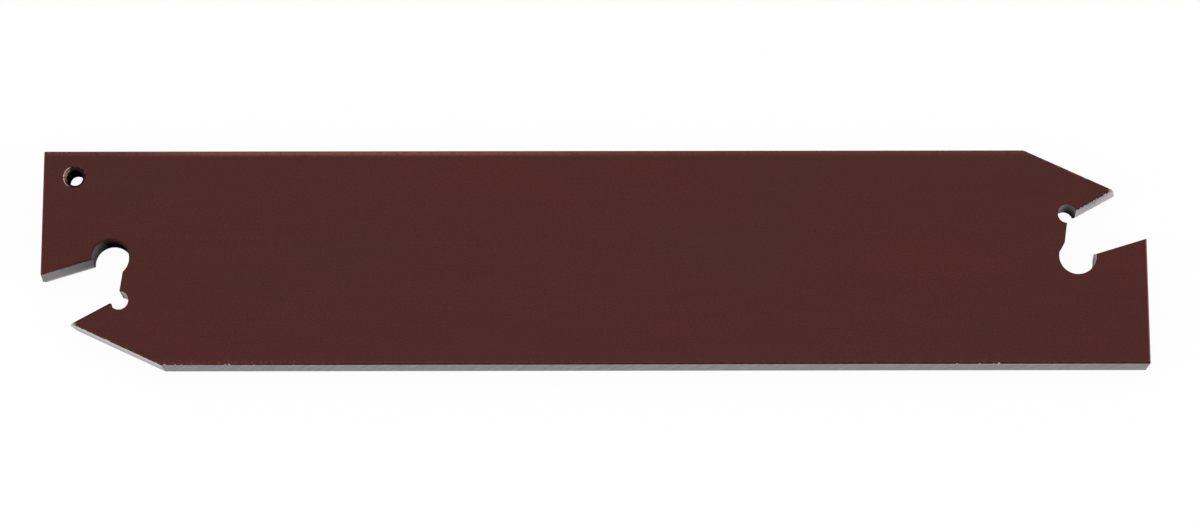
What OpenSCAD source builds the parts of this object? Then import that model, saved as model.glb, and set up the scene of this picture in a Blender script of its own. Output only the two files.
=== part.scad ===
// Double-ended parting blade: one flat piece of hardened steel that clamps by its two long edges.
// The blade lies flat, X along its length, Y across its height and Z through its thickness.
// Each end has a self-gripping insert pocket. The left end is the right end turned half a turn about Z.

/* [Plate] */
// Length over both end faces
blade_l = 161.6; // [120:0.1:220]
// Height from the lower long edge to the upper one
blade_h = 32; // [29:0.5:40]
// Thickness of the plate
blade_t = 5.2; // [2.4:0.1:6.8]
// Width of the small break along the four long corners
edge_break = 0.2; // [0.05:0.05:0.4]

/* [Insert pocket] */
// Height of the base jaw's outer corner above the long edge beneath it
base_jaw_h = 18.6; // [16:0.1:20]
// Slope of the base jaw's seat, falling inward from the end face
base_seat_angle = 17.1; // [14:0.1:20]
// Height of the clamp jaw's tip above the base jaw's outer corner
mouth_h = 7.3; // [6:0.1:8.5]
// Distance of the clamp jaw's tip behind the end face
tip_inset = 4.65; // [3:0.05:6]
// Slope of the clamp jaw's seat, falling inward from its tip
clamp_seat_angle = 28.8; // [26:0.1:32]
// Slope of the nose that falls from the long edge to the clamp jaw's tip
nose_angle = 25; // [20:0.1:32]
// Lean of the nose from the upright, its edge on the under face set in
nose_lean = 1.5; // [0:0.1:6]
// Distance of the stop face behind the end face, level with the base jaw's outer corner
stop_depth = 11.9; // [10.5:0.1:13]
// Lean of the stop face from the upright, its top towards the end face
stop_lean = 7.9; // [0:0.1:12]
// Height of the ridge along the middle of both seats, which keeps the insert from sliding sideways
ridge_h = 0.48; // [0.2:0.02:0.9]

/* [Relief holes] */
// Diameter of the relief hole at the inner end of the base seat
base_relief_d = 5.45; // [4.5:0.05:6.5]
// Distance of that hole's axis behind the end face
base_relief_depth = 10.1; // [9:0.1:11]
// Height of that hole's axis above the line of the base seat
base_relief_rise = 0.6; // [0:0.05:1.2]
// Diameter of the relief hole at the inner end of the clamp seat
clamp_relief_d = 2.75; // [2:0.05:3.4]
// Distance of that hole's axis behind the end face
clamp_relief_depth = 11.5; // [10.8:0.1:12.4]
// Height of that hole's axis above the line of the clamp seat
clamp_relief_rise = 0.26; // [0:0.02:0.8]

/* [Hanging hole] */
// Diameter of the hole in the upper left corner
hang_d = 2.25; // [2:0.05:4]
// Distance of its axis from the left end face
hang_inset = 4.55; // [3.5:0.05:8]
// Distance of its axis from the upper long edge
hang_drop = 3.9; // [3.2:0.05:8]
// Width of the countersink around it on both faces
hang_chamfer = 0.55; // [0.1:0.05:0.8]
// Depth of that countersink
hang_sink = 0.75; // [0.1:0.05:1]

/* [Hidden] */
$fn = 96;
half_l = blade_l / 2;
half_h = blade_h / 2;
half_t = blade_t / 2;
// Room by which cutting shapes run past what they cut
past = 1;

// Outer corner of the base jaw and tip of the clamp jaw, on the right end
base_corner = [half_l, base_jaw_h - half_h];
clamp_tip = [half_l - tip_inset, base_corner.y + mouth_h];
// Length along a seat and depth across the pocket that are sure to clear it
reach = blade_h;

// Axes of the relief holes, each set above the line of its own seat
base_relief = seat_point(base_corner, base_seat_angle, base_relief_depth, base_relief_rise);
clamp_relief = seat_point(clamp_tip, clamp_seat_angle, clamp_relief_depth - tip_inset, clamp_relief_rise);

// Point at a distance behind the start of a seat, raised straight up from the seat's line
function seat_point(start, angle, back, rise) = start + [-back, rise - back * tan(angle)];

// Cross-section of the plate with its four long corners broken
module plate_section() {
    polygon([
        [half_h - edge_break, 0],
        [half_h, edge_break],
        [half_h, blade_t - edge_break],
        [half_h - edge_break, blade_t],
        [edge_break - half_h, blade_t],
        [-half_h, blade_t - edge_break],
        [-half_h, edge_break],
        [edge_break - half_h, 0]
    ]);
}

module plate() {
    translate([-half_l, 0, 0])
        rotate([90, 0, 90])
            linear_extrude(blade_l) plate_section();
}

// Everything outside the nose, whose plane goes through the clamp jaw's tip on the upper face
module nose_space() {
    translate([clamp_tip.x, clamp_tip.y, blade_t])
        rotate([0, 0, -nose_angle])
            rotate([-nose_lean, 0, 0])
                translate([-reach, 0, -blade_t - past])
                    cube([2 * reach, reach, blade_t + 2 * past]);
}

// Space on the open side of one seat: a long prism whose wall is hollowed to leave the seat's ridge.
// Its wall starts at the seat's line on both faces and its length runs along the seat.
module seat_space(start, angle, side) {
    translate([start.x, start.y, 0])
        rotate([0, 0, angle])
            translate([-reach, 0, 0])
                rotate([90, 0, 90])
                    linear_extrude(2 * reach)
                        polygon([
                            [0, -past],
                            [0, 0],
                            [side * ridge_h, half_t],
                            [0, blade_t],
                            [0, blade_t + past],
                            [side * reach, blade_t + past],
                            [side * reach, -past]
                        ]);
}

// Everything on the end's side of the stop face
module stop_space() {
    translate([half_l - stop_depth, base_corner.y, -past])
        rotate([0, 0, -stop_lean])
            translate([0, -reach, 0])
                cube([2 * reach, 2 * reach, blade_t + 2 * past]);
}

module relief_hole(axis, d) {
    translate([axis.x, axis.y, -past])
        cylinder(d = d, h = blade_t + 2 * past);
}

// All that is cut away for one insert: the wedge between the seats and a relief hole behind each
module insert_pocket() {
    intersection() {
        seat_space(base_corner, base_seat_angle, 1);
        seat_space(clamp_tip, clamp_seat_angle, -1);
        stop_space();
    }
    relief_hole(base_relief, base_relief_d);
    relief_hole(clamp_relief, clamp_relief_d);
}

// Hanging hole with a countersink on each face
module hanging_hole() {
    mouth_d = hang_d + 2 * hang_chamfer;
    translate([hang_inset - half_l, half_h - hang_drop, 0]) {
        translate([0, 0, -past])
            cylinder(d = hang_d, h = blade_t + 2 * past);
        cylinder(d1 = mouth_d, d2 = hang_d, h = hang_sink);
        translate([0, 0, blade_t - hang_sink])
            cylinder(d1 = hang_d, d2 = mouth_d, h = hang_sink);
    }
}

module blade() {
    color("#4e2b28")
        difference() {
            plate();
            for (turn = [0, 180])
                rotate([0, 0, turn]) {
                    nose_space();
                    insert_pocket();
                }
            hanging_hole();
        }
}

blade();
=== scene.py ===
import math

import bmesh
import bpy
from mathutils import Matrix, Vector, noise


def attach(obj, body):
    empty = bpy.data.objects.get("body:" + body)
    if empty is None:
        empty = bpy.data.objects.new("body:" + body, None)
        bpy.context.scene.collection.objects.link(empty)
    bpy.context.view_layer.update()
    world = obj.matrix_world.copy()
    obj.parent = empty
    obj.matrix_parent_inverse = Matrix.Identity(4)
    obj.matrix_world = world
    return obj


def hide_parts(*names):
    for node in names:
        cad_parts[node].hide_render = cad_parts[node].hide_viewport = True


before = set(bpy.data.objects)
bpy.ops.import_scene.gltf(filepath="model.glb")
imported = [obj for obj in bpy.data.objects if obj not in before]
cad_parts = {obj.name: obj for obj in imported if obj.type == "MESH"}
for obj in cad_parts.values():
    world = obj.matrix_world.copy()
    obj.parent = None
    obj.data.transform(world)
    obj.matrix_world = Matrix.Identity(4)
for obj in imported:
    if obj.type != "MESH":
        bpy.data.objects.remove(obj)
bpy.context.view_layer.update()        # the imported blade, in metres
mm = 0.001

camera = {
    "aim": (0.845 * mm, 0.158 * mm, 0),     # point on the floor at the picture's centre
    "distance": 567.65 * mm,
    "tilt": 12.717,             # degrees that the line of sight leans forward from the upright
    "swing": -0.116,            # degrees to the side
    "roll": -0.105,
    "lens": 115.52,
    "sensor": 36,
}


def placeCamera():
    tilt = math.radians(camera["tilt"])
    swing = math.radians(camera["swing"])
    back = Vector((math.sin(swing) * math.cos(tilt), -math.sin(tilt), math.cos(swing) * math.cos(tilt)))
    back.normalize()
    right = Vector((0, 1, 0)).cross(back).normalized()
    up = back.cross(right)
    roll = Matrix.Rotation(math.radians(camera["roll"]), 3, "Z")
    lens = bpy.data.cameras.new("photoCamera")
    lens.lens = camera["lens"]
    lens.sensor_width = camera["sensor"]
    stand = bpy.data.objects.new("photoCamera", lens)
    stand.location = Vector(camera["aim"]) + camera["distance"] * back
    stand.rotation_euler = (Matrix((right, up, back)).transposed() @ roll).to_euler()
    bpy.context.scene.collection.objects.link(stand)
    bpy.context.scene.camera = stand


placeCamera()
print("camera placed")

plate = {
    "thick": 5.2 * mm,
    "halfHeight": 16 * mm,
}
# Places on the right end. The left end is the same, turned half a turn about Z.
pocket = {
    "endFace": 80.8 * mm,
    "noseStart": Vector((63.069, 16)) * mm,
    "noseSlope": math.radians(25),
    "tip": Vector((76.15, 9.9)) * mm,
    "clampSlope": math.radians(28.8),
    "jawCorner": Vector((80.8, 2.6)) * mm,
    "baseSlope": math.radians(17.1),
    "baseRelief": Vector((70.7, 0.093)) * mm,
    "baseReliefRadius": 2.725 * mm,
    "clampRelief": Vector((69.3, 6.394)) * mm,
    "clampReliefRadius": 1.375 * mm,
}
hanging = {
    "axis": Vector((-76.25, 12.1)) * mm,
    "boreRadius": 1.125 * mm,
    "mouthRadius": 1.675 * mm,
}


class Wire:
    def __init__(self, socket):
        self.socket = socket

    def node(self, kind, settings=None, sockets=None, out=0):
        tree = self.socket.id_data
        made = tree.nodes.new("ShaderNode" + kind)
        for name, value in (settings or {}).items():
            setattr(made, name, value)
        for name, value in (sockets or {}).items():
            if isinstance(value, Wire):
                tree.links.new(value.socket, made.inputs[name])
            else:
                made.inputs[name].default_value = value
        return Wire(made.outputs[out]) if made.outputs else None

    def beside(self, out):
        # Another output of the node that this wire comes from
        return Wire(self.socket.node.outputs[out])

    def maths(self, operation, *values):
        return self.node("Math", {"operation": operation}, dict(enumerate(values)))

    def __add__(self, other):
        return self.maths("ADD", self, other)

    def __sub__(self, other):
        return self.maths("SUBTRACT", self, other)

    def __rsub__(self, other):
        return self.maths("SUBTRACT", other, self)

    def __mul__(self, other):
        return self.maths("MULTIPLY", self, other)

    def __abs__(self):
        return self.maths("ABSOLUTE", self)

    __radd__ = __add__
    __rmul__ = __mul__

    def most(self, other):
        return self.maths("MAXIMUM", self, other)

    def rise(self, low, high):
        # 0 below low, 1 above high, smooth between
        sockets = {"Value": self, "From Min": low, "From Max": high}
        return self.node("MapRange", {"interpolation_type": "SMOOTHSTEP"}, sockets)

    def fall(self, low, high):
        return 1 - self.rise(low, high)

    def over(self, least):
        # This share, from a least value up to 1
        return least + (1 - least) * self

    def mix(self, first, second):
        # This wire chooses between two colours
        return self.node("Mix", {"data_type": "RGBA"}, {0: self, 6: first, 7: second}, out=2)

    def tint(self, tone):
        # A colour made lighter or darker by a value
        return self.node("VectorMath", {"operation": "SCALE"}, {0: self, "Scale": tone})

    def grain(self, size, stretch=(1, 1, 1), shift=0, detail=3):
        # Noise whose specks are about the given size in millimetres
        sockets = {0: self, "Location": (shift, shift, shift), "Scale": stretch}
        sockets = {"Vector": self.node("Mapping", None, sockets), "Scale": 1 / size, "Detail": detail}
        return self.node("TexNoise", None, sockets)


bumpDepth = 0.01 * mm
crossing = (-1, 1)       # millimetres of X or Y in which a mark on one half of the blade ends


def startMaterial(name):
    material = bpy.data.materials.new(name)
    material.use_nodes = True
    material.node_tree.nodes.clear()
    spot = Wire(material.node_tree.nodes.new("ShaderNodeTexCoord").outputs["Object"])
    place = spot.node("VectorMath", {"operation": "SCALE"}, {0: spot, "Scale": 1 / mm})
    return material, place


def finishMaterial(place, sockets, bump, strength):
    relief = place.node("Bump", None, {"Height": bump, "Strength": strength, "Distance": bumpDepth})
    shader = place.node("BsdfPrincipled", None, {**sockets, "Normal": relief})
    place.node("OutputMaterial", None, {"Surface": shader})


coat = {
    "brown": (0.0622, 0.0112, 0.0083, 1),
    "rubbedSheen": (0.19, 0.040, 0.026, 1),      # painted highlight on the broken upper corner, where the coat is also worn thin
    "pale": (0.17, 0.057, 0.046, 1),        # painted highlight in a strip beside that corner
    "pinkGlint": (0.27, 0.10, 0.095, 1),         # painted highlight on the end edges
    "tip": (0.42, 0.22, 0.22, 1),
    "fleck": (0.125, 0.045, 0.024, 1),      # rusty specks beside the lower edge
    "cornerShade": (0.032, 0.0095, 0.010, 1),     # painted shade on the broken lower corner
    "pocketShade": (0.007, 0.006, 0.006, 1),       # painted shade round the pocket
    "bare": (0.62, 0.58, 0.57, 1),
    "roughness": 0.52,
    "specular": 0.12,
    "bump": 0.25,
}
# Noise in the coat: size of its specks in millimetres, stretch and shift
coatNoise = {
    "fine": (0.26, (0.6, 1, 1), 0),
    "lay": (0.5, (0.06, 1, 1), 3),
    "cloud": (14, (0.5, 1, 1), 7),
    "rag": (0.8, (1, 1, 1), 11),
    "speck": (0.3, (1, 1, 1), 5),
}
# Shares of that noise in the coat's tone and roughness
coatTone = {"fine": 0.9, "lay": 0.16, "cloud": 0.2}
coatGloss = {"fine": 0.14, "cloud": 0.1}
# Where marks on the coat fade: millimetres along X (along), in from an edge (width) or up (level), or
# levels of noise (rag). Single values are shares, or the reach in millimetres of a ragged edge.
marks = {
    "jawWidth": (-0.5, -0.4),
    "clampJawAlong": (69.9, 70.3),
    "baseJawAlong": (72.3, 72.7),
    "sheenLeast": 0.3,
    "sheenStartAlong": (-74, -50),
    "sheenStopAlong": (-30, 16),
    "paleWidth": (0.25, 1),
    "paleRag": (0.1, 0.5),
    "palestNose": 0.6,
    "paleNoseWidth": (0.05, 0.4),
    "paleNoseRag": (0.45, 0.65),
    "palestLower": 0.15,
    "paleLowerWidth": (0.22, 0.45),
    "rubSheenWidth": (0.18, 0.24),
    "endGlintWidth": (0.05, 0.25),
    "endGlintLevel": (0.05, 0.3),
    "endGlintLeast": 0.2,
    "fleckWidth": (0.25, 0.9),
    "fleckRag": (0.52, 0.64),
    "fleckLeast": 0.3,
    "fleckMore": 0.6,
    "fleckAlong": (-56, -30),
    "cornerShadeWidth": (0.16, 0.22),
    "cornerShadeWider": 0.07,                     # on the right half
    "cornerShadeWiderAlong": (0, 30),
    "cornerShadeRag": (0.3, 0.58),
    "cornerShadeLeast": 0.2,
    "cornerShadeAlong": (-58, -44),
    "pocketShadeWidth": (0.02, 0.35),
    "pocketShadeRag": (0.35, 0.6),
    "pocketShadeFromEnd": (1, 7),
    "pocketShadeReliefShare": 0.6,
    "pocketShadeReliefRadius": (2.75, 3.15),
    "pocketShadeReliefLevel": (-1.4, 0.4),
    "chipRag": (0.1, 0.3),
    "bareReach": 0.5,
    "bareNose": 0.26,
    "bareClamp": 0.21,
    "bareWidth": (0, 0.05),
    "tipRadius": (0.3, 0.9),
    "tipBareRadius": (0.12, 0.35),
}


def distanceInside(x, y, slope, through, side):
    # Distance in millimetres from a line at both ends, positive on the given side of it
    level = abs(through.y * math.cos(slope) - through.x * math.sin(slope)) / mm
    return side * (level - abs(y * math.cos(slope) - x * math.sin(slope)))


def distanceFrom(x, sameEnd, point):
    # Distance in millimetres from a point that is on both ends
    across = x.node("CombineXYZ", None, {0: abs(x), 1: sameEnd})
    return x.node("VectorMath", {"operation": "DISTANCE"}, {0: across, 1: (*(point / mm), 0)}, out="Value")


def makeCoat():
    material, place = startMaterial("brownCoat")
    x = place.node("SeparateXYZ", None, {0: place})
    y = x.beside("Y")
    sameEnd = y * x.maths("SIGN", x)        # Y as it is on the right end
    grains = {name: place.grain(*settings) for name, settings in coatNoise.items()}
    rag = grains["rag"]
    speck = grains["speck"]
    tone = 1 + sum(share * (grains[name] - 0.5) for name, share in coatTone.items())
    gloss = coat["roughness"] + sum(share * (grains[name] - 0.5) for name, share in coatGloss.items())

    halfThick = plate["thick"] / mm / 2
    fromFace = halfThick - abs(x.beside("Z") - halfThick)
    fromLong = plate["halfHeight"] / mm - abs(y)
    fromEnd = pocket["endFace"] / mm - abs(x)
    fromNose = distanceInside(x, y, -pocket["noseSlope"], pocket["noseStart"], 1)
    fromClamp = distanceInside(x, y, pocket["clampSlope"], pocket["tip"], 1)
    fromBase = distanceInside(x, y, pocket["baseSlope"], pocket["jawCorner"], -1)
    fromTip = distanceFrom(x, sameEnd, pocket["tip"])
    fromRelief = distanceFrom(x, sameEnd, pocket["baseRelief"])
    clampJaw = fromClamp.rise(*marks["jawWidth"]) * abs(x).rise(*marks["clampJawAlong"])
    baseJaw = fromBase.rise(*marks["jawWidth"]) * abs(x).rise(*marks["baseJawAlong"])
    upper = y.rise(*crossing)
    lower = 1 - upper
    right = x.rise(*crossing)
    left = 1 - right

    # How far along the upper corner its painted highlights reach
    sheenAlong = x.rise(*marks["sheenStartAlong"]) * x.fall(*marks["sheenStopAlong"])
    sheenAlong = sheenAlong.over(marks["sheenLeast"])
    # Painted highlight in a band beside the upper corner, beside the nose rim and faintly along the lower
    # corner
    pale = upper * sheenAlong * fromLong.fall(*marks["paleWidth"]) * rag.rise(*marks["paleRag"])
    paleNose = fromNose.fall(*marks["paleNoseWidth"]) * rag.rise(*marks["paleNoseRag"])
    pale = pale.most(marks["palestNose"] * paleNose)
    pale = pale.most(marks["palestLower"] * lower * fromLong.fall(*marks["paleLowerWidth"]))
    # Painted highlight on the broken upper corner, over coat worn thin there
    rubSheen = upper * sheenAlong * fromLong.fall(*marks["rubSheenWidth"])
    # Painted highlight on the end edges, stronger on the right end
    endGlint = fromEnd.fall(*marks["endGlintWidth"]) * fromFace.fall(*marks["endGlintLevel"])
    endGlint = endGlint * right.over(marks["endGlintLeast"])
    flecks = lower * fromLong.fall(*marks["fleckWidth"]) * speck.rise(*marks["fleckRag"])
    flecks = flecks * (marks["fleckLeast"] + marks["fleckMore"] * x.fall(*marks["fleckAlong"]))
    # Painted shade along the broken lower corner, wider on the right half
    cornerShadeFrom = fromLong - marks["cornerShadeWider"] * x.rise(*marks["cornerShadeWiderAlong"])
    cornerShade = lower * cornerShadeFrom.fall(*marks["cornerShadeWidth"]) * rag.rise(*marks["cornerShadeRag"])
    cornerShade = cornerShade * x.rise(*marks["cornerShadeAlong"]).over(marks["cornerShadeLeast"])
    # Painted shade along the pocket's rims, and round the base relief hole on the left end
    pocketShadeClamp = clampJaw * fromClamp.fall(*marks["pocketShadeWidth"]) * rag.rise(*marks["pocketShadeRag"])
    pocketShadeBase = baseJaw * fromBase.fall(*marks["pocketShadeWidth"]) * fromEnd.rise(*marks["pocketShadeFromEnd"]) * left
    pocketShadeRelief = fromRelief.fall(*marks["pocketShadeReliefRadius"]) * sameEnd.fall(*marks["pocketShadeReliefLevel"]) * left
    pocketShade = pocketShadeClamp.most(pocketShadeBase).most(marks["pocketShadeReliefShare"] * pocketShadeRelief)
    chip = place.node("Attribute", {"attribute_name": "chip"}, out="Fac")
    bareNose = marks["bareReach"] * rag - marks["bareNose"] - fromNose
    bareClamp = marks["bareReach"] * speck - marks["bareClamp"] - fromClamp
    bare = chip.rise(*marks["chipRag"]).most(bareNose.rise(*marks["bareWidth"]))
    bare = bare.most(clampJaw * right * bareClamp.rise(*marks["bareWidth"]))

    colour = pale.mix(coat["brown"], coat["pale"]).tint(tone)
    colour = rubSheen.mix(colour, coat["rubbedSheen"])
    colour = flecks.mix(colour, coat["fleck"])
    colour = endGlint.mix(colour, coat["pinkGlint"])
    colour = cornerShade.mix(colour, coat["cornerShade"])
    colour = pocketShade.mix(colour, coat["pocketShade"])
    colour = bare.mix(colour, coat["bare"])
    colour = fromTip.fall(*marks["tipRadius"]).mix(colour, coat["tip"])
    colour = fromTip.fall(*marks["tipBareRadius"]).mix(colour, coat["bare"])
    sockets = {
        "Base Color": colour,
        "Roughness": gloss,
        "Metallic": bare,
        "Specular IOR Level": coat["specular"],
    }
    finishMaterial(place, sockets, grains["fine"] + grains["lay"], coat["bump"])
    return material


# Bare steel: colour, lighter on the nose and clamp seat and darker on the long edges and base seat as
# painted light and shade, shares of it left deep in the pocket and low on the wall as painted shade,
# brighter crest at the top as a painted highlight, strength of the mottle, stretch and slant of the grinding
# lines, roughness, and the height in millimetres from which coat creeps over the rim
steels = {
    "groundEdge": {
        "colour": (0.152, 0.135, 0.145),
        "deep": 1,
        "low": 1,
        "crest": 0.25,
        "mottle": 2.4,
        "lay": (1, 1, 0.12),
        "slant": 0.45,
        "roughness": 0.42,
        "creep": 4.77,
    },
    "nose": {
        "colour": (0.5, 0.485, 0.52),
        "deep": 1,
        "low": 0.6,
        "crest": 0,
        "mottle": 1,
        "lay": (0.25, 0.5, 1),
        "slant": 0,
        "roughness": 0.4,
        "creep": 5.5,
    },
    "clampSeat": {
        "colour": (0.6, 0.575, 0.585),
        "deep": 0.72,
        "low": 0.9,
        "crest": 0,
        "mottle": 1,
        "lay": (1, 1, 0.12),
        "slant": 0,
        "roughness": 0.42,
        "creep": 4.97,
    },
    "baseSeat": {
        "colour": (0.21, 0.2, 0.2),
        "deep": 0.4,
        "low": 1,
        "crest": 0,
        "mottle": 1.4,
        "lay": (0.15, 0.15, 1),
        "slant": 0,
        "roughness": 0.45,
        "creep": 5.03,
    },
}
# What all bare steel shares: sizes, heights and places along X in millimetres, and shares of the noise
grind = {
    "lineSize": 0.16,
    "lineShare": 0.9,
    "patchSize": 0.7,
    "patchShare": 0.6,
    "deepAlong": (71.7, 79.8),
    "lowHeight": (0.6, 5),
    "crestHeight": (4.15, 4.5),
    "ragSize": 0.5,
    "creepRag": 0.3,
    "creepDrop": 0.25,           # how much lower the coat creeps on the right half
    "creepDropAlong": (0, 30),
    "creepBlend": 0.04,
    "gloss": 0.2,
    "bump": 0.3,
}


def makeSteel(name):
    steel = steels[name]
    material, place = startMaterial(name)
    x = place.node("SeparateXYZ", None, {0: place})
    z = x.beside("Z")
    ground = x.node("CombineXYZ", None, {0: x - steel["slant"] * z, 1: x.beside("Y"), 2: z})
    lines = ground.grain(grind["lineSize"], steel["lay"], shift=2)
    patches = ground.grain(grind["patchSize"], steel["lay"], shift=9)
    rag = place.grain(grind["ragSize"], shift=13)
    mottle = grind["lineShare"] * (lines - 0.5) + grind["patchShare"] * (patches - 0.5)
    # Painted shade deep in the pocket and low on the wall, and a painted highlight at the top
    deep = abs(x).fall(*grind["deepAlong"])
    low = z.fall(*grind["lowHeight"])
    crest = z.rise(*grind["crestHeight"])
    tone = (1 + steel["mottle"] * mottle) * (1 - (1 - steel["deep"]) * deep)
    tone = tone * (1 - (1 - steel["low"]) * low + steel["crest"] * crest)
    hue = [channel * tone for channel in steel["colour"]]
    metal = place.node("CombineColor", None, dict(enumerate(hue)))
    # Coat that creeps over the rim, drawn in the painted shade colour of the lower corner
    height = z + grind["creepRag"] * (rag - 0.5) - grind["creepDrop"] * x.rise(*grind["creepDropAlong"])
    creep = height.rise(steel["creep"], steel["creep"] + grind["creepBlend"])
    sockets = {
        "Base Color": creep.mix(metal, coat["cornerShade"]),
        "Roughness": steel["roughness"] + grind["gloss"] * (lines - 0.5),
        "Metallic": 1 - creep,
        "Specular IOR Level": coat["specular"],
    }
    finishMaterial(place, sockets, lines, grind["bump"])
    return material


# Walls of the relief holes, dark as painted shade: colours deep down and at the rim, darker deep down as
# painted shade, the heights in millimetres between which these blend, colours of the brighter side on either
# end, a painted highlight, which is the outer side (1) or the inner one (-1), and where that side starts and
# is full, as shares of the radius
reliefs = {
    "baseRelief": {
        "deep": (0.006, 0.0055, 0.0055, 1),
        "rim": (0.046, 0.021, 0.019, 1),
        "blend": (1.7, 5.1),
        "leftSide": (0.18, 0.155, 0.155, 1),
        "rightSide": (0.5, 0.47, 0.48, 1),
        "toward": 1,
        "start": (0.2, 1),
    },
    "clampRelief": {
        "deep": (0.035, 0.033, 0.033, 1),
        "rim": (0.19, 0.175, 0.175, 1),
        "blend": (0.5, 3.7),
        "leftSide": (0.62, 0.6, 0.6, 1),
        "rightSide": (0.4, 0.38, 0.38, 1),
        "toward": -1,
        "start": (-0.3, 0.4),
    },
}
# What both kinds of relief wall share: size of the drill marks in millimetres, and shares of their noise
drilled = {
    "streakSize": 0.3,
    "streakLay": (1, 1, 0.2),
    "sideRag": (0.15, 0.45),
    "heightRag": 0.8,
    "roughness": 0.6,
    "gloss": 0.2,
    "specular": 0,
    "bump": 0.3,
}


def makeRelief(name):
    relief = reliefs[name]
    material, place = startMaterial(name)
    x = place.node("SeparateXYZ", None, {0: place})
    streaks = place.grain(drilled["streakSize"], drilled["streakLay"], shift=4)
    # Painted highlight on one side of the wall, and painted shade deeper down
    outward = relief["toward"] * (abs(x) - pocket[name].x / mm) * (mm / pocket[name + "Radius"])
    side = outward.rise(*relief["start"]) * streaks.rise(*drilled["sideRag"])
    height = x.beside("Z") + drilled["heightRag"] * (streaks - 0.5)
    bright = x.rise(*crossing).mix(relief["leftSide"], relief["rightSide"])
    wall = height.rise(*relief["blend"]).mix(relief["deep"], relief["rim"])
    sockets = {
        "Base Color": side.mix(wall, bright),
        "Roughness": drilled["roughness"] + drilled["gloss"] * (streaks - 0.5),
        "Specular IOR Level": drilled["specular"],
    }
    finishMaterial(place, sockets, streaks, drilled["bump"])
    return material


# Hanging hole, near black inside as painted shade with painted highlights on its left: colours, then
# distances in millimetres from its axis and levels of noise where marks fade
bore = {
    # Painted shade: near black deep in the bore, brown at its mouth
    "dark": (0.006, 0.004, 0.004, 1),
    "brown": (0.035, 0.014, 0.012, 1),
    "pinkGlint": (0.36, 0.21, 0.18, 1),          # painted highlight on the upper left of the bore's wall
    # painted highlight round the mouth, strongest on the left
    "rim": (0.62, 0.56, 0.53, 1),
    "roughness": 0.5,
    "gloss": 0.2,
    "specular": 0,
    "bump": 0.3,
    "streakSize": 0.3,
    "streakLay": (1, 1, 0.4),
    "leftward": (0.55, 1.1),
    "mouthRadius": (1.145, 1.32),
    "pinkUpward": (-0.9, 0.3),
    "pinkRag": (0.35, 0.55),
    "lipRadius": (1.52, 1.63),
    "lipLeast": 0.12,                       # share of the painted highlight on the rim away from the left side
    "lipRag": (0.4, 0.6),
    "leftLipRag": (0.3, 0.5),
}


def makeBore():
    material, place = startMaterial("boreCoat")
    axis = hanging["axis"] / mm
    x = place.node("SeparateXYZ", None, {0: place})
    y = x.beside("Y")
    flat = x.node("CombineXYZ", None, {0: x, 1: y})
    radius = x.node("VectorMath", {"operation": "DISTANCE"}, {0: flat, 1: (*axis, 0)}, out="Value")
    streaks = place.grain(bore["streakSize"], bore["streakLay"], shift=4)
    # Painted highlights on the left of the wall and on the rim, and painted shade inside the bore
    leftSide = (axis.x - x).rise(*bore["leftward"])
    mouth = radius.rise(*bore["mouthRadius"])
    pinkGlint = leftSide * mouth * (y - axis.y).rise(*bore["pinkUpward"]) * streaks.rise(*bore["pinkRag"])
    lip = bore["lipLeast"] * streaks.rise(*bore["lipRag"]) + leftSide * streaks.rise(*bore["leftLipRag"])
    lip = radius.rise(*bore["lipRadius"]) * lip
    colour = pinkGlint.mix(mouth.mix(bore["dark"], bore["brown"]), bore["pinkGlint"])
    sockets = {
        "Base Color": lip.mix(colour, bore["rim"]),
        "Roughness": bore["roughness"] + bore["gloss"] * (streaks - 0.5),
        "Specular IOR Level": bore["specular"],
    }
    finishMaterial(place, sockets, streaks, bore["bump"])
    return material


materials = {name: makeSteel(name) for name in steels}
materials["coat"] = makeCoat()
for name in reliefs:
    materials[name] = makeRelief(name)
materials["bore"] = makeBore()
faceKinds = list(materials)
print("finishes made")

worn = {
    "mergeDistance": 0.001 * mm,
    "flatAngle": 0.5,           # degrees under which neighbouring facets are one face
    "tipRound": 0.08 * mm,
    "tipWear": 0.3 * mm,        # upper and lower corners of the two tips
    "tipReach": 1 * mm,         # how near the tip its own edges are
    "cornerAngle": 35,          # degrees from which an upright edge is a corner
    "cornerRound": 0.1 * mm,
    "softRim": 0.2 * mm,        # rims of the big relief holes
    "rimBreak": 0.06 * mm,      # all other rims
    "step": 0.16 * mm,          # spacing of points along a worn rim
    "shortest": 3 * mm,         # shorter rims stay clean
    "holeRoom": 0.3 * mm,       # and so do those this near a hole
    "nickDepth": 0.08 * mm,
    "nickDrop": 0.7,            # share of that depth by which the wall's side of the rim goes down
    "nickWidth": 0.2 * mm,
    "nickFade": 0.08,           # share of a nick's bare steel that reaches the broad face
    "nickReach": 1 * mm,        # how near the lower edge the rim with the nicks is
    # Depth of each nick, by where it is along the lower edge in millimetres
    "nicks": {
        -62.3: 0.8, -60.8: 0.4, -59.9: 0.35, -58.2: 0.3, -57.4: 0.3, -53.5: 0.5, -52.9: 0.9, -49.4: 0.35,
        -43.6: 0.3, 52.7: 0.45, 56: 0.4, 58: 0.4, 58.8: 0.9, 62: 0.25, 63.9: 0.25,
    },
    "dentSpacing": 0.9 * mm,    # faint dents elsewhere
    "dentLevel": 0.4,           # share of the noise that leaves no dent
    "dentShare": 0.2,           # depth of the dents beside a nick
    "splitLength": 16.3 * mm,
    "splitsEachWay": 4,
    "splitDistance": 0.0001 * mm,
    "smoothAngle": 28,
}
# What tells faces apart: shares of their normals, and margins in metres
telling = {
    "broad": 0.99,
    "wall": 0.3,
    "endFace": 0.999,
    "longEdge": 0.99,
    "longEdgeBand": 0.15 * mm,
    "clampSeat": -0.5,
    "noseLevel": 8 * mm,
    "reliefMargin": 0.03 * mm,
    "cornerMargin": 0.05 * mm,
    "boreMargin": -0.01 * mm,
    "levelMargin": 0.001 * mm,
}


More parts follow.
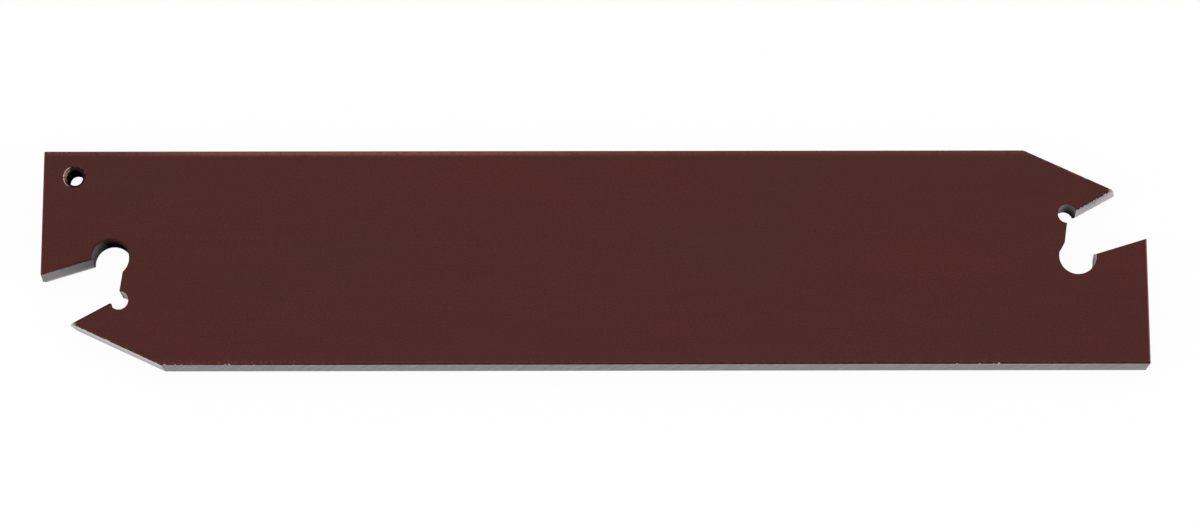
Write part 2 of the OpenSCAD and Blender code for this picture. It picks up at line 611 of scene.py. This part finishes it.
def towardRight(point):
    # The same place on the right end, seen along Z
    return point.xy if point.x > 0 else -point.xy


def nearBaseRelief(point, margin):
    return (towardRight(point) - pocket["baseRelief"]).length < pocket["baseReliefRadius"] + margin


def nearClampRelief(point, margin):
    return (towardRight(point) - pocket["clampRelief"]).length < pocket["clampReliefRadius"] + margin


def nearHangingHole(point, margin):
    return (point.xy - hanging["axis"]).length < hanging["mouthRadius"] + margin


def nearHole(point, margin):
    tests = (nearBaseRelief, nearClampRelief, nearHangingHole)
    return any(test(point, margin) for test in tests)


def isBroad(face):
    return abs(face.normal.z) > telling["broad"]


def isWall(face):
    return abs(face.normal.z) < telling["wall"]


def middle(edge):
    return (edge.verts[0].co + edge.verts[1].co) / 2


def mergedCopy(node):
    shape = bmesh.new()
    shape.from_mesh(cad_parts[node].data)
    bmesh.ops.remove_doubles(shape, verts=shape.verts, dist=worn["mergeDistance"])
    bmesh.ops.dissolve_limit(
        shape,
        angle_limit=math.radians(worn["flatAngle"]),
        verts=shape.verts,
        edges=shape.edges,
        delimit=set(),
    )
    shape.normal_update()
    return shape


def bevelParts(shape, parts, size, segments, affect="EDGES"):
    bmesh.ops.bevel(
        shape,
        geom=parts,
        offset=size,
        offset_type="OFFSET",
        affect=affect,
        segments=segments,
        profile=0.5,
        clamp_overlap=False,
        material=-1,
    )
    shape.normal_update()


def isCorner(edge):
    # An upright corner of the outline
    return (
        all(isWall(face) for face in edge.link_faces)
        and edge.is_convex
        and edge.calc_face_angle() > math.radians(worn["cornerAngle"])
        and not nearHole(middle(edge), telling["cornerMargin"])
    )


def isTip(edge):
    return isCorner(edge) and (towardRight(middle(edge)) - pocket["tip"]).length < worn["tipReach"]


def roundCorners(shape):
    corners = [edge for edge in shape.edges if isCorner(edge) and not isTip(edge)]
    bevelParts(shape, corners, worn["cornerRound"], 2)
    tipEnds = [
        point for point in shape.verts
        if any(isTip(edge) for edge in point.link_edges)
        and any(isBroad(face) for face in point.link_faces)
    ]
    bevelParts(shape, tipEnds, worn["tipWear"], 1, "VERTICES")
    bevelParts(shape, [edge for edge in shape.edges if isTip(edge)], worn["tipRound"], 2)


def breakRims(shape):
    rims = [
        edge for edge in shape.edges
        if any(isBroad(face) for face in edge.link_faces)
        and any(isWall(face) for face in edge.link_faces)
    ]
    soft = [edge for edge in rims if nearBaseRelief(middle(edge), telling["reliefMargin"])]
    others = [edge for edge in rims if edge not in soft]
    bevelParts(shape, soft, worn["softRim"], 3)
    bevelParts(shape, [edge for edge in others if edge.is_valid], worn["rimBreak"], 1)


def nickAmount(point):
    level = worn["dentLevel"]
    dent = noise.noise(point / worn["dentSpacing"])
    amount = worn["dentShare"] * max(0, dent - level) / (1 - level)
    nearLower = point.y < worn["nickReach"] - plate["halfHeight"]
    if nearLower and point.z > plate["thick"] / 2:
        for where, depth in worn["nicks"].items():
            near = 1 - abs(point.x - where * mm) / worn["nickWidth"]
            amount = max(amount, depth * near)
    return amount


def wearRims(shape):
    # Points along the long rims, some of them pushed in as small nicks
    chip = shape.loops.layers.float.new("chip")
    strips = [
        face for face in shape.faces
        if not isBroad(face)
        and not isWall(face)
        and not nearHole(face.calc_center_median(), worn["holeRoom"])
        and max(edge.calc_length() for edge in face.edges) > worn["shortest"]
    ]
    for strip in strips:
        longEdges = sorted(strip.edges, key=lambda edge: -edge.calc_length())[:2]
        sides = [next(face for face in edge.link_faces if face != strip) for edge in longEdges]
        broad = next((face for face in sides if isBroad(face)), None)
        wall = next((face for face in sides if isWall(face)), None)
        if broad is None or wall is None:
            continue
        inward = -(wall.normal - wall.normal.dot(broad.normal) * broad.normal).normalized()
        down = -(broad.normal - broad.normal.dot(wall.normal) * wall.normal).normalized()
        level = broad.calc_center_median().z
        cuts = round(longEdges[0].calc_length() / worn["step"])
        made = bmesh.ops.subdivide_edges(shape, edges=longEdges, cuts=cuts, use_grid_fill=True)
        points = [part for part in made["geom_inner"] if isinstance(part, bmesh.types.BMVert)]
        for point in points:
            amount = nickAmount(point.co)
            onFace = abs(point.co.z - level) < telling["levelMargin"]
            for loop in point.link_loops:
                if not isBroad(loop.face) and not isWall(loop.face):
                    loop[chip] = amount * (worn["nickFade"] if onFace else 1)
            point.co += worn["nickDepth"] * amount * (inward if onFace else worn["nickDrop"] * down)
    shape.normal_update()


def splitFaces(shape):
    # The broad faces in short lengths, which keeps their triangles from being needles
    for station in range(-worn["splitsEachWay"], worn["splitsEachWay"] + 1):
        bmesh.ops.bisect_plane(
            shape,
            geom=[*shape.verts, *shape.edges, *shape.faces],
            dist=worn["splitDistance"],
            plane_co=(station * worn["splitLength"], 0, 0),
            plane_no=(1, 0, 0),
        )
    shape.normal_update()


def kindOf(face):
    centre = face.calc_center_median()
    if isBroad(face):
        return "coat"
    if nearHangingHole(centre, telling["boreMargin"]):
        return "bore"
    if not isWall(face):
        return "coat"
    if nearBaseRelief(centre, telling["reliefMargin"]):
        return "baseRelief"
    if nearClampRelief(centre, telling["reliefMargin"]):
        return "clampRelief"
    end = 1 if centre.x > 0 else -1
    facing = end * face.normal
    if facing.x > telling["endFace"]:
        return "coat"
    fromLong = plate["halfHeight"] - abs(centre.y)
    if abs(facing.y) > telling["longEdge"] or fromLong < telling["longEdgeBand"]:
        return "groundEdge"
    if facing.y < telling["clampSeat"]:
        return "clampSeat"
    if end * centre.y > telling["noseLevel"] and facing.x > 0:
        return "nose"
    return "baseSeat"           # the stop face too


def buildBlade():
    shape = mergedCopy("blade")
    roundCorners(shape)
    breakRims(shape)
    wearRims(shape)
    splitFaces(shape)
    for face in shape.faces:
        face.material_index = faceKinds.index(kindOf(face))
    mesh = bpy.data.meshes.new("partingBlade")
    shape.to_mesh(mesh)
    shape.free()
    for kind in faceKinds:
        mesh.materials.append(materials[kind])
    mesh.set_sharp_from_angle(angle=math.radians(worn["smoothAngle"]))
    for face in mesh.polygons:
        face.use_smooth = not isBroad(face)
    piece = bpy.data.objects.new("partingBlade", mesh)
    bpy.context.scene.collection.objects.link(piece)
    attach(piece, "root")
    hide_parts("blade")
    return piece


piece = buildBlade()
print("blade built with", len(piece.data.polygons), "faces")

studio = {
    "floorSize": 4,
    "floorColour": (0.86, 0.86, 0.86, 1),
    "floorRoughness": 0.9,
    "floorWhite": 0.955,        # share of plain white that eyes and reflections see on the floor
    "ambient": 0.5,
    "lamps": {
        "overhead": {"place": (0, 0.7, 2.2), "size": 1.6, "watts": 20},
        "leftSide": {"place": (-1.8, -0.5, 1.1), "size": 1.2, "watts": 12},
        "rightSide": {"place": (1.8, -0.5, 1.1), "size": 1.2, "watts": 12},
    },
}


def makeFloor():
    shape = bmesh.new()
    bmesh.ops.create_grid(shape, x_segments=1, y_segments=1, size=studio["floorSize"] / 2)
    mesh = bpy.data.meshes.new("floor")
    shape.to_mesh(mesh)
    shape.free()
    material = bpy.data.materials.new("paleFloor")
    material.use_nodes = True
    material.node_tree.nodes.clear()
    ray = Wire(material.node_tree.nodes.new("ShaderNodeLightPath").outputs["Is Camera Ray"])
    seen = ray.most(ray.beside("Is Glossy Ray")).most(ray.beside("Is Transmission Ray"))
    finish = {"Base Color": studio["floorColour"], "Roughness": studio["floorRoughness"]}
    paint = ray.node("BsdfPrincipled", None, finish)
    white = ray.node("Emission", None, {"Strength": 1})
    surface = ray.node("MixShader", None, {0: seen * studio["floorWhite"], 1: paint, 2: white})
    ray.node("OutputMaterial", None, {"Surface": surface})
    mesh.materials.append(material)
    floor = bpy.data.objects.new("floor", mesh)
    bpy.context.scene.collection.objects.link(floor)


def makeLamps():
    for name, lamp in studio["lamps"].items():
        light = bpy.data.lights.new(name, "AREA")
        light.energy = lamp["watts"]
        light.size = lamp["size"]
        holder = bpy.data.objects.new(name, light)
        holder.location = lamp["place"]
        holder.rotation_euler = (-Vector(lamp["place"])).to_track_quat("-Z", "Y").to_euler()
        bpy.context.scene.collection.objects.link(holder)
    world = bpy.data.worlds.new("studioAir")
    world.use_nodes = True
    sky = world.node_tree.nodes["Background"]
    sky.inputs["Color"].default_value = (1, 1, 1, 1)
    sky.inputs["Strength"].default_value = studio["ambient"]
    bpy.context.scene.world = world
    bpy.context.scene.view_settings.view_transform = "Standard"


makeFloor()
makeLamps()
print("studio lit")
